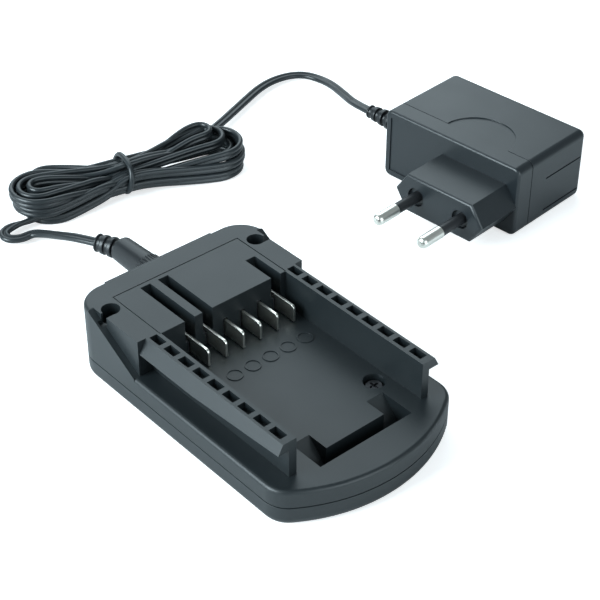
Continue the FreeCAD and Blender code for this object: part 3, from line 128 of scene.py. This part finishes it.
# Rounding of moulded edges: what is welded, what counts as flat and as sharp, and each group's share
WELD_GAP = 0.000004
FLAT_ANGLE = math.radians(0.6)
SHARP_ANGLE = math.radians(38.0)
SOFT_SHARE = 1.6
BLADE_SHARE = 0.6
SHELLS = ("base_shell", "top_shell", "terminal_cover", "adapter_front_shell", "adapter_rear_shell")
SOFT_PIECES = ("plug_grip", "plug_relief", "adapter_boot")
BLADE_COUNT = 6

# Every material: the detail and bump of its grain, its slow drift and the spread of its tone
GRAIN_DETAIL = 3.0
BUMP_STRENGTH = 0.35
DRIFT_SCALE = 85.0
DRIFT_DETAIL = 4.0
TONE_LOW = 0.88
TONE_HIGH = 1.12

# The studio: each lamp's name, place, size and power, and the colours of lamps, room and paper
LAMPS = (
    ("softbox_back", (0.42, 0.72, 0.62), 0.9, 5.6),
    ("softbox_left", (-0.80, 0.25, 0.45), 0.6, 17.0),
    ("softbox_front", (0.10, -0.85, 0.30), 0.7, 5.0),
)
LAMP_AIM = (0.05, 0.04, 0.0)
LAMP_COLOUR = (0.80, 0.94, 1.0)
ROOM_COLOUR = (0.82, 0.94, 1.0, 1.0)
ROOM_STRENGTH = 0.27
PAPER_COLOUR = (0.86, 0.87, 0.875, 1.0)
PAPER_ROUGHNESS = 0.9
PAPER_GLOSS = 0.1
PAPER_GLOW = 0.62
PAPER_SIZE = 6.0
PAPER_DROP = 0.00005
SENSOR_WIDTH = 36.0
NEAREST_SEEN = 0.01


class ChargerFinish(bpy.types.PropertyGroup):
    """Colours and surfaces of the charger's materials."""

    case_colour: FloatVectorProperty(
        name="Case colour", description="Plastic of the cradle's shells and cover", subtype="COLOR",
        size=3, default=(0.0098, 0.0135, 0.0155),
    )
    adapter_colour: FloatVectorProperty(
        name="Adapter colour", description="Plastic of the wall adapter's shells", subtype="COLOR",
        size=3, default=(0.0125, 0.0165, 0.0195),
    )
    lead_colour: FloatVectorProperty(
        name="Lead colour", description="Jacket of the lead", subtype="COLOR",
        size=3, default=(0.0150, 0.0190, 0.0215),
    )
    case_roughness: FloatProperty(
        name="Case roughness", description="How dull the moulded plastic is", min=0.0, max=1.0,
        default=0.42, subtype="FACTOR",
    )
    grain: FloatProperty(
        name="Grain", description="Size of one grain of the spark-eroded finish", default=0.00035,
        subtype="DISTANCE", unit="LENGTH",
    )
    edge_round: FloatProperty(
        name="Edge rounding", description="Radius of the small rounding on moulded edges",
        default=0.00022, subtype="DISTANCE", unit="LENGTH",
    )


class ChargerLead(bpy.types.PropertyGroup):
    """The flat twin lead and its tied hank."""

    width: FloatProperty(
        name="Width", description="Across both cores of the flat lead", default=0.0035,
        subtype="DISTANCE", unit="LENGTH",
    )
    thickness: FloatProperty(
        name="Thickness", description="Across one core of the flat lead", default=0.0018,
        subtype="DISTANCE", unit="LENGTH",
    )
    length: FloatProperty(
        name="Length", description="Real length from plug to adapter", default=1.5, subtype="DISTANCE",
        unit="LENGTH",
    )
    turns: IntProperty(name="Turns", description="Folds in the hank", default=8, min=1, max=8)
    tie_place: FloatProperty(
        name="Tie place", description="The tie's distance along the hank from its middle",
        default=-0.0025, subtype="DISTANCE", unit="LENGTH",
    )


class ChargerStage(bpy.types.PropertyGroup):
    """Camera and light."""

    camera_place: FloatVectorProperty(
        name="Camera place", description="Where the camera stands", size=3, subtype="TRANSLATION",
        unit="LENGTH", default=(-0.21830, -0.26482, 0.28888),
    )
    camera_aim: FloatVectorProperty(
        name="Camera aim", description="The point on the floor that the camera looks at", size=3,
        subtype="TRANSLATION", unit="LENGTH", default=(0.03737, 0.02774, 0.0),
    )
    lens: FloatProperty(
        name="Lens", description="Focal length on a 36 mm sensor, in millimetres", default=96.2,
    )
    roll: FloatProperty(
        name="Roll", description="The camera's turn about its line of sight",
        default=math.radians(0.217), subtype="ANGLE", unit="ROTATION",
    )


def active_only(item):
    """Selects one object and makes it active."""
    bpy.ops.object.select_all(action="DESELECT")
    item.select_set(True)
    bpy.context.view_layer.objects.active = item


def link(tree, start, end):
    """Joins two sockets of a material's tree."""
    tree.links.new(start, end)


def grained(name, colour, roughness, grain, depth, drift=0.04, metallic=0.0, stretch=(1.0, 1.0, 1.0)):
    """A material with a fine grain that also spreads its colour, a slow drift of its roughness, and a
    soft bump.
    """
    material = bpy.data.materials.new(name)
    material.use_nodes = True
    tree = material.node_tree
    shader = tree.nodes["Principled BSDF"]
    shader.inputs["Metallic"].default_value = metallic
    place = tree.nodes.new("ShaderNodeTexCoord")
    mapping = tree.nodes.new("ShaderNodeMapping")
    mapping.inputs["Scale"].default_value = stretch
    link(tree, place.outputs["Object"], mapping.inputs["Vector"])

    fine = tree.nodes.new("ShaderNodeTexNoise")
    fine.inputs["Scale"].default_value = 1.0 / grain
    fine.inputs["Detail"].default_value = GRAIN_DETAIL
    link(tree, mapping.outputs["Vector"], fine.inputs["Vector"])
    bump = tree.nodes.new("ShaderNodeBump")
    bump.inputs["Strength"].default_value = BUMP_STRENGTH
    bump.inputs["Distance"].default_value = depth
    link(tree, fine.outputs["Fac"], bump.inputs["Height"])
    link(tree, bump.outputs["Normal"], shader.inputs["Normal"])

    slow = tree.nodes.new("ShaderNodeTexNoise")
    slow.inputs["Scale"].default_value = DRIFT_SCALE
    slow.inputs["Detail"].default_value = DRIFT_DETAIL
    link(tree, place.outputs["Object"], slow.inputs["Vector"])
    dull = tree.nodes.new("ShaderNodeMapRange")
    dull.inputs["To Min"].default_value = roughness - drift
    dull.inputs["To Max"].default_value = roughness + drift
    link(tree, slow.outputs["Fac"], dull.inputs["Value"])
    link(tree, dull.outputs["Result"], shader.inputs["Roughness"])

    tone = tree.nodes.new("ShaderNodeMix")
    tone.data_type = "RGBA"
    tone.inputs["A"].default_value = (*[channel * TONE_LOW for channel in colour], 1.0)
    tone.inputs["B"].default_value = (*[min(1.0, channel * TONE_HIGH) for channel in colour], 1.0)
    link(tree, fine.outputs["Fac"], tone.inputs["Factor"])
    link(tree, tone.outputs["Result"], shader.inputs["Base Color"])
    return material


def case_plastic():
    """Satin black plastic of the cradle."""
    finish = bpy.context.scene.charger_finish
    return grained(
        "case_plastic", finish.case_colour, finish.case_roughness, finish.grain, depth=0.00002,
    )


def adapter_plastic():
    """Slightly glossier black plastic of the adapter."""
    finish = bpy.context.scene.charger_finish
    return grained(
        "adapter_plastic", finish.adapter_colour, roughness=0.36, grain=finish.grain * 0.8,
        depth=0.000012,
    )


def soft_moulding():
    """Matte soft plastic of the grip and the reliefs."""
    return grained(
        "soft_moulding", (0.007, 0.009, 0.011), roughness=0.38, grain=0.0003, depth=0.00002,
    )


def lead_jacket():
    """Smooth vinyl of the lead, with the faint waviness of a drawn jacket."""
    finish = bpy.context.scene.charger_finish
    return grained(
        "lead_jacket", finish.lead_colour, roughness=0.33, grain=0.0012, depth=0.00002, drift=0.06,
    )


def black_nylon():
    """Plain moulded nylon of sleeves and holders."""
    return grained(
        "black_nylon", (0.015, 0.016, 0.018), roughness=0.42, grain=0.0004, depth=0.00001,
    )


def nickel():
    """Bright nickel plate with fine drawn lines."""
    return grained(
        "nickel_plate", (0.92, 0.89, 0.82), roughness=0.30, grain=0.0004, depth=0.000001,
        drift=0.03, metallic=1.0, stretch=(0.08, 1.0, 1.0),
    )


def screw_steel():
    """Dark plated steel."""
    return grained(
        "screw_steel", (0.16, 0.16, 0.17), roughness=0.34, grain=0.0002, depth=0.000006,
        drift=0.08, metallic=1.0,
    )


def board_laminate():
    """Green lacquer of a circuit board."""
    return grained(
        "board_laminate", (0.02, 0.16, 0.05), roughness=0.35, grain=0.0006, depth=0.00002,
    )


def component_epoxy():
    """Matte moulded epoxy of chips."""
    return grained(
        "component_epoxy", (0.025, 0.025, 0.025), roughness=0.55, grain=0.0002, depth=0.00001,
    )


def capacitor_sleeve():
    """Dark blue shrink sleeve."""
    return grained(
        "capacitor_sleeve", (0.03, 0.03, 0.10), roughness=0.25, grain=0.0015, depth=0.00002,
    )


def ferrite():
    """Dull sintered ferrite."""
    return grained("ferrite", (0.06, 0.06, 0.06), roughness=0.62, grain=0.0003, depth=0.00003)


def winding_tape():
    """Yellow polyester tape over the winding."""
    return grained(
        "winding_tape", (0.72, 0.52, 0.08), roughness=0.28, grain=0.002, depth=0.00002,
    )


# Which finish each material slot of the record takes
FINISHES = {
    "case_plastic": case_plastic,
    "adapter_plastic": adapter_plastic,
    "soft_moulding": soft_moulding,
    "lead_jacket": lead_jacket,
    "tie_plastic": lead_jacket,
    "black_nylon": black_nylon,
    "nickel_metal": nickel,
    "screw_steel": screw_steel,
    "board_laminate": board_laminate,
    "component_plastic": component_epoxy,
    "capacitor_sleeve": capacitor_sleeve,
    "ferrite": ferrite,
    "winding_tape": winding_tape,
}
MADE = {}


def finish_of(slot):
    """The material of one slot, made once."""
    maker = FINISHES[slot]
    if maker.__name__ not in MADE:
        MADE[maker.__name__] = maker()
    return MADE[maker.__name__]


def wear(item, slot):
    """Gives a piece one slot's finish and nothing else."""
    item.data.materials.clear()
    item.data.materials.append(finish_of(slot))


def slot_of(node):
    """The record's material slot of a node."""
    return next(part["material_slot"] for part in frame["record"]["subparts"] if part["node"] == node)


def settle(item, body, slot):
    """Finishes a new piece: its material, the slot it takes it from and the body it rides on."""
    wear(item, slot)
    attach(item, body)


def moulded_edges(node, radius, segments=2):
    """A copy of a CAD node with its sharp edges rounded, which stands for the node."""
    source = NODES[node]
    copy = source.copy()
    copy.data = source.data.copy()
    copy.name = node + "_moulded"
    bpy.context.collection.objects.link(copy)
    active_only(copy)
    bpy.ops.object.mode_set(mode="EDIT")
    bpy.ops.mesh.select_all(action="SELECT")
    bpy.ops.mesh.remove_doubles(threshold=WELD_GAP)
    bpy.ops.mesh.dissolve_limited(angle_limit=FLAT_ANGLE)
    bpy.ops.object.mode_set(mode="OBJECT")
    bevel = copy.modifiers.new("edges", "BEVEL")
    bevel.width = radius
    bevel.segments = segments
    bevel.limit_method = "ANGLE"
    bevel.angle_limit = SHARP_ANGLE
    bevel.use_clamp_overlap = True
    bpy.ops.object.modifier_apply(modifier=bevel.name)
    bpy.ops.object.shade_smooth_by_angle(angle=SHARP_ANGLE)
    even = copy.modifiers.new("even_faces", "WEIGHTED_NORMAL")
    even.keep_sharp = True
    even.weight = 100
    bpy.ops.object.modifier_apply(modifier=even.name)
    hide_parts(node)
    settle(copy, BODY_OF[node], slot_of(node))


def new_curve(name, points, closed=False, tilts=None):
    """A smooth curve object through a list of points, which are its spline's control points."""
    data = bpy.data.curves.new(name, "CURVE")
    data.dimensions = "3D"
    data.twist_mode = "Z_UP"
    data.resolution_u = 6
    spline = data.splines.new("NURBS")
    spline.points.add(len(points) - 1)
    for index, point in enumerate(points):
        spline.points[index].co = (*point, 1.0)
        if tilts:
            spline.points[index].tilt = tilts[index]
    spline.order_u = 3
    spline.use_endpoint_u = not closed
    spline.use_cyclic_u = closed
    item = bpy.data.objects.new(name, data)
    bpy.context.collection.objects.link(item)
    return item


def in_hank(along, across, height):
    """A point of the hank: along its length, across it and above the floor."""
    turned = Matrix.Rotation(HANK_TURN, 3, "Z") @ Vector((along, across, height))
    return HANK_MIDDLE + turned


def hank_fold(number, fold, lead):
    """One fold of the hank, from the tie round its right and left ends and back, with its tilts."""
    right, left = fold
    row = number // 2
    at_tie = (FOLD_COLUMNS - 0.5 - row) * lead.thickness * COLUMN_PITCH
    tie_height = TIE_FLOOR + lead.width / 2 + lead.width * ROW_PITCH * (number % 2)
    points = []

    def run(end, share, side):
        """A point between the tie, at share 0, and the start of an end's bend, at share 1."""
        along, across, bend, height = end
        start = along - math.copysign(bend, along)
        ease = share * share * (3.0 - 2.0 * share)
        return (
            lead.tie_place + (start - lead.tie_place) * share,
            side * at_tie * (1.0 - ease) + (across + side * bend) * ease,
            tie_height + (height - tie_height) * ease,
            math.radians(TIE_TILT) * (1.0 - ease),
        )

    def turn_round(end, side):
        """The half circle at one end, entered on the given side."""
        along, across, bend, height = end
        outward = math.copysign(1.0, along)
        for step in range(BEND_POINTS):
            angle = math.radians(-90 + 180 / (BEND_POINTS - 1) * step)
            points.append((
                along - outward * bend + BEND_SWELL * outward * bend * math.cos(angle),
                across - BEND_SWELL * side * bend * math.sin(angle), height, 0.0,
            ))

    for share in RUN_OUT:
        points.append(run(right, share, -1.0))
    turn_round(right, -1.0)
    for share in RUN_BACK:
        points.append(run(right, share, 1.0))
    for share in RUN_OUT:
        points.append(run(left, share, 1.0))
    turn_round(left, 1.0)
    for share in RUN_BACK:
        points.append(run(left, share, -1.0))
    return points


def twin_profile(lead):
    """The lead's cross-section: two round cores side by side with a groove between them."""
    core = lead.thickness / 2
    offset = lead.width / 2 - core
    points = []
    for side in (1, -1):
        for angle in range(-60, 241, 30):
            turned = math.radians(angle if side > 0 else angle + 180)
            points.append((core * math.cos(turned), side * offset + core * math.sin(turned), 0.0))
    data = bpy.data.curves.new("lead_section", "CURVE")
    data.dimensions = "2D"
    spline = data.splines.new("POLY")
    spline.points.add(len(points) - 1)
    for index, point in enumerate(points):
        spline.points[index].co = (*point, 1.0)
    spline.use_cyclic_u = True
    item = bpy.data.objects.new("lead_section", data)
    bpy.context.collection.objects.link(item)
    return item


def curve_line(item):
    """The points that a curve with no bevel follows."""
    data = bpy.data.meshes.new_from_object(item)
    points = [tuple(vertex.co) for vertex in data.vertices]
    bpy.data.meshes.remove(data)
    return points


class CHARGER_OT_lead(bpy.types.Operator):
    """Lays the flat twin lead from the plug through its hank to the adapter"""

    bl_idname = "charger.lead"
    bl_label = "Lead"

    def execute(self, context):
        lead = context.scene.charger_lead
        flat = math.pi / 2
        points = []
        tilts = []
        for point in PLUG_ROUTE:
            points.append(Vector(point))
            tilts.append(flat)
        tilts[-1] = flat * ENTRY_TILT
        for number, fold in enumerate(FOLDS[:lead.turns]):
            for along, across, height, tilt in hank_fold(number, fold, lead):
                points.append(in_hank(along, across, height))
                tilts.append(tilt)
        for along, across, height in ((lead.tie_place, *LEAVING_TIE), LEAVING_HANK):
            points.append(in_hank(along, across, height))
            tilts.append(flat)
        for point in reversed(ADAPTER_ROUTE):
            points.append(Vector(point))
            tilts.append(flat)
        line = new_curve("lead_line", points, tilts=tilts)
        path = curve_line(line)
        section = twin_profile(lead)
        line.data.bevel_mode = "OBJECT"
        line.data.bevel_object = section
        line.data.use_fill_caps = True
        active_only(line)
        bpy.ops.object.convert(target="MESH")
        cable = context.object
        cable.name = "flat_lead"
        bpy.data.objects.remove(section)
        bpy.ops.object.mode_set(mode="EDIT")
        bpy.ops.mesh.select_all(action="SELECT")
        bpy.ops.mesh.remove_doubles(threshold=0.000001)
        bpy.ops.mesh.normals_make_consistent(inside=False)
        bpy.ops.object.mode_set(mode="OBJECT")
        bpy.ops.object.shade_smooth_by_angle(angle=math.radians(50.0))
        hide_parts("plug_lead", "cord_hank", "adapter_lead")
        settle(cable, "lead", "lead_jacket")
        tie_ring(lead)
        return {"FINISHED"}


def tie_ring(lead):
    """The round tie that holds the hank at its waist."""
    half, low, top, corner = TIE_HALF, TIE_LOW, TIE_TOP, TIE_CORNER
    points = []
    for across, height in (
        (-half, low + corner), (-half, top - corner), (corner - half, top), (half - corner, top),
        (half, top - corner), (half, low + corner), (half - corner, low), (corner - half, low),
    ):
        points.append(in_hank(lead.tie_place + TIE_LEAN * (height / top - 0.5) * 2, across, height))
    ring = new_curve("hank_tie_ring", points, closed=True)
    ring.data.bevel_depth = TIE_RADIUS
    ring.data.bevel_resolution = 4
    active_only(ring)
    bpy.ops.object.convert(target="MESH")
    ring = bpy.context.object
    bpy.ops.object.shade_smooth()
    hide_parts("hank_tie")
    settle(ring, "lead", "tie_plastic")
    return ring


class CHARGER_OT_shells(bpy.types.Operator):
    """Rounds the edges of the shells, cover, blades, grip, relief and boot"""

    bl_idname = "charger.shells"
    bl_label = "Moulded shells"

    def execute(self, context):
        radius = context.scene.charger_finish.edge_round
        for node in SHELLS:
            moulded_edges(node, radius)
        for node in SOFT_PIECES:
            moulded_edges(node, radius * SOFT_SHARE, segments=3)
        for number in range(1, BLADE_COUNT + 1):
            moulded_edges(f"terminal_blade_{number}", radius * BLADE_SHARE)
        return {"FINISHED"}


class CHARGER_OT_grip_ribs(bpy.types.Operator):
    """Adds the fine finger ribs round the plug's grip"""

    bl_idname = "charger.grip_ribs"
    bl_label = "Grip ribs"

    def execute(self, context):
        low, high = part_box("plug_grip")
        middle = Vector(((low[0] + high[0]) / 2, low[1] + RIB_MIDDLE, (low[2] + high[2]) / 2))
        radius = (high[2] - low[2]) / 2 - RIB_SINK
        ribs = []
        for number in range(RIB_COUNT):
            angle = math.tau * number / RIB_COUNT
            place = middle + Vector((radius * math.cos(angle), 0.0, radius * math.sin(angle)))
            bpy.ops.mesh.primitive_cylinder_add(
                vertices=8, radius=RIB_RADIUS, depth=RIB_LENGTH, location=place,
                rotation=(math.pi / 2, 0.0, 0.0),
            )
            rib = context.object
            bpy.ops.object.mode_set(mode="EDIT")
            bpy.ops.mesh.select_all(action="SELECT")
            bpy.ops.mesh.bevel(offset=RIB_EDGE, segments=1)
            bpy.ops.object.mode_set(mode="OBJECT")
            ribs.append(rib)
        bpy.ops.object.select_all(action="DESELECT")
        for rib in ribs:
            rib.select_set(True)
        bpy.context.view_layer.objects.active = ribs[0]
        bpy.ops.object.join()
        item = context.object
        item.name = "plug_grip_ribs"
        bpy.ops.object.transform_apply(location=True, rotation=True, scale=True)
        bpy.ops.object.shade_smooth_by_angle(angle=math.radians(40.0))
        settle(item, "lead", "soft_moulding")
        return {"FINISHED"}


class CHARGER_OT_finish_nodes(bpy.types.Operator):
    """Gives every CAD node its finish"""

    bl_idname = "charger.finish_nodes"
    bl_label = "Finishes"

    def execute(self, context):
        for name, item in NODES.items():
            wear(item, slot_of(name))
        return {"FINISHED"}


def soft_light(name, place, aim, size, power):
    """A square studio light that looks at a point."""
    data = bpy.data.lights.new(name, "AREA")
    data.size = size
    data.energy = power
    data.color = LAMP_COLOUR
    item = bpy.data.objects.new(name, data)
    bpy.context.collection.objects.link(item)
    item.location = place
    item.rotation_euler = (Vector(aim) - Vector(place)).to_track_quat("-Z", "Y").to_euler()


class CHARGER_OT_stage(bpy.types.Operator):
    """Sets the floor, the studio light and the camera"""

    bl_idname = "charger.stage"
    bl_label = "Stage"

    def execute(self, context):
        stage = context.scene.charger_stage
        bpy.ops.object.select_all(action="DESELECT")
        bpy.ops.mesh.primitive_plane_add(size=PAPER_SIZE, location=(0.0, 0.0, -PAPER_DROP))
        floor = context.object
        floor.name = "studio_floor"
        paper = bpy.data.materials.new("studio_paper")
        paper.use_nodes = True
        tree = paper.node_tree
        shader = tree.nodes["Principled BSDF"]
        shader.inputs["Base Color"].default_value = PAPER_COLOUR
        shader.inputs["Roughness"].default_value = PAPER_ROUGHNESS
        shader.inputs["Specular IOR Level"].default_value = PAPER_GLOSS
        shader.inputs["Emission Color"].default_value = (1.0, 1.0, 1.0, 1.0)
        rays = tree.nodes.new("ShaderNodeLightPath")
        glow = tree.nodes.new("ShaderNodeMath")
        glow.operation = "MULTIPLY"
        glow.inputs[1].default_value = PAPER_GLOW
        link(tree, rays.outputs["Is Camera Ray"], glow.inputs[0])
        link(tree, glow.outputs[0], shader.inputs["Emission Strength"])
        floor.data.materials.append(paper)

        world = bpy.data.worlds.new("studio")
        context.scene.world = world
        world.use_nodes = True
        background = world.node_tree.nodes["Background"]
        background.inputs["Color"].default_value = ROOM_COLOUR
        background.inputs["Strength"].default_value = ROOM_STRENGTH
        for name, place, size, power in LAMPS:
            soft_light(name, place, LAMP_AIM, size, power)

        camera_data = bpy.data.cameras.new("camera")
        camera = bpy.data.objects.new("camera", camera_data)
        context.collection.objects.link(camera)
        camera_data.lens = stage.lens
        camera_data.sensor_width = SENSOR_WIDTH
        camera_data.clip_start = NEAREST_SEEN
        sight = (Vector(stage.camera_aim) - Vector(stage.camera_place)).to_track_quat("-Z", "Y")
        turn = sight.to_matrix().to_4x4() @ Matrix.Rotation(stage.roll, 4, "Z")
        camera.matrix_world = Matrix.Translation(stage.camera_place) @ turn
        context.scene.camera = camera
        context.scene.view_settings.view_transform = "Standard"
        return {"FINISHED"}


class CHARGER_PT_panel(bpy.types.Panel):
    """Lists the charger's steps in the order they are run."""

    bl_idname = "CHARGER_PT_panel"
    bl_label = "Charger"
    bl_space_type = "VIEW_3D"
    bl_region_type = "UI"
    bl_category = "Charger"

    def draw(self, context):
        for step in STEPS:
            self.layout.operator(step.bl_idname)


GROUPS = {"charger_finish": ChargerFinish, "charger_lead": ChargerLead, "charger_stage": ChargerStage}
STEPS = (
    CHARGER_OT_finish_nodes, CHARGER_OT_lead, CHARGER_OT_shells, CHARGER_OT_grip_ribs, CHARGER_OT_stage,
)


def register():
    for name, group in GROUPS.items():
        bpy.utils.register_class(group)
        setattr(bpy.types.Scene, name, PointerProperty(type=group))
    for step in STEPS:
        bpy.utils.register_class(step)
    bpy.utils.register_class(CHARGER_PT_panel)


def unregister():
    bpy.utils.unregister_class(CHARGER_PT_panel)
    for step in reversed(STEPS):
        bpy.utils.unregister_class(step)
    for name, group in GROUPS.items():
        delattr(bpy.types.Scene, name)
        bpy.utils.unregister_class(group)


def main():
    register()
    bpy.ops.charger.finish_nodes()
    bpy.ops.charger.lead()
    bpy.ops.charger.shells()
    bpy.ops.charger.grip_ribs()
    bpy.ops.charger.stage()


if __name__ == "__main__":
    main()
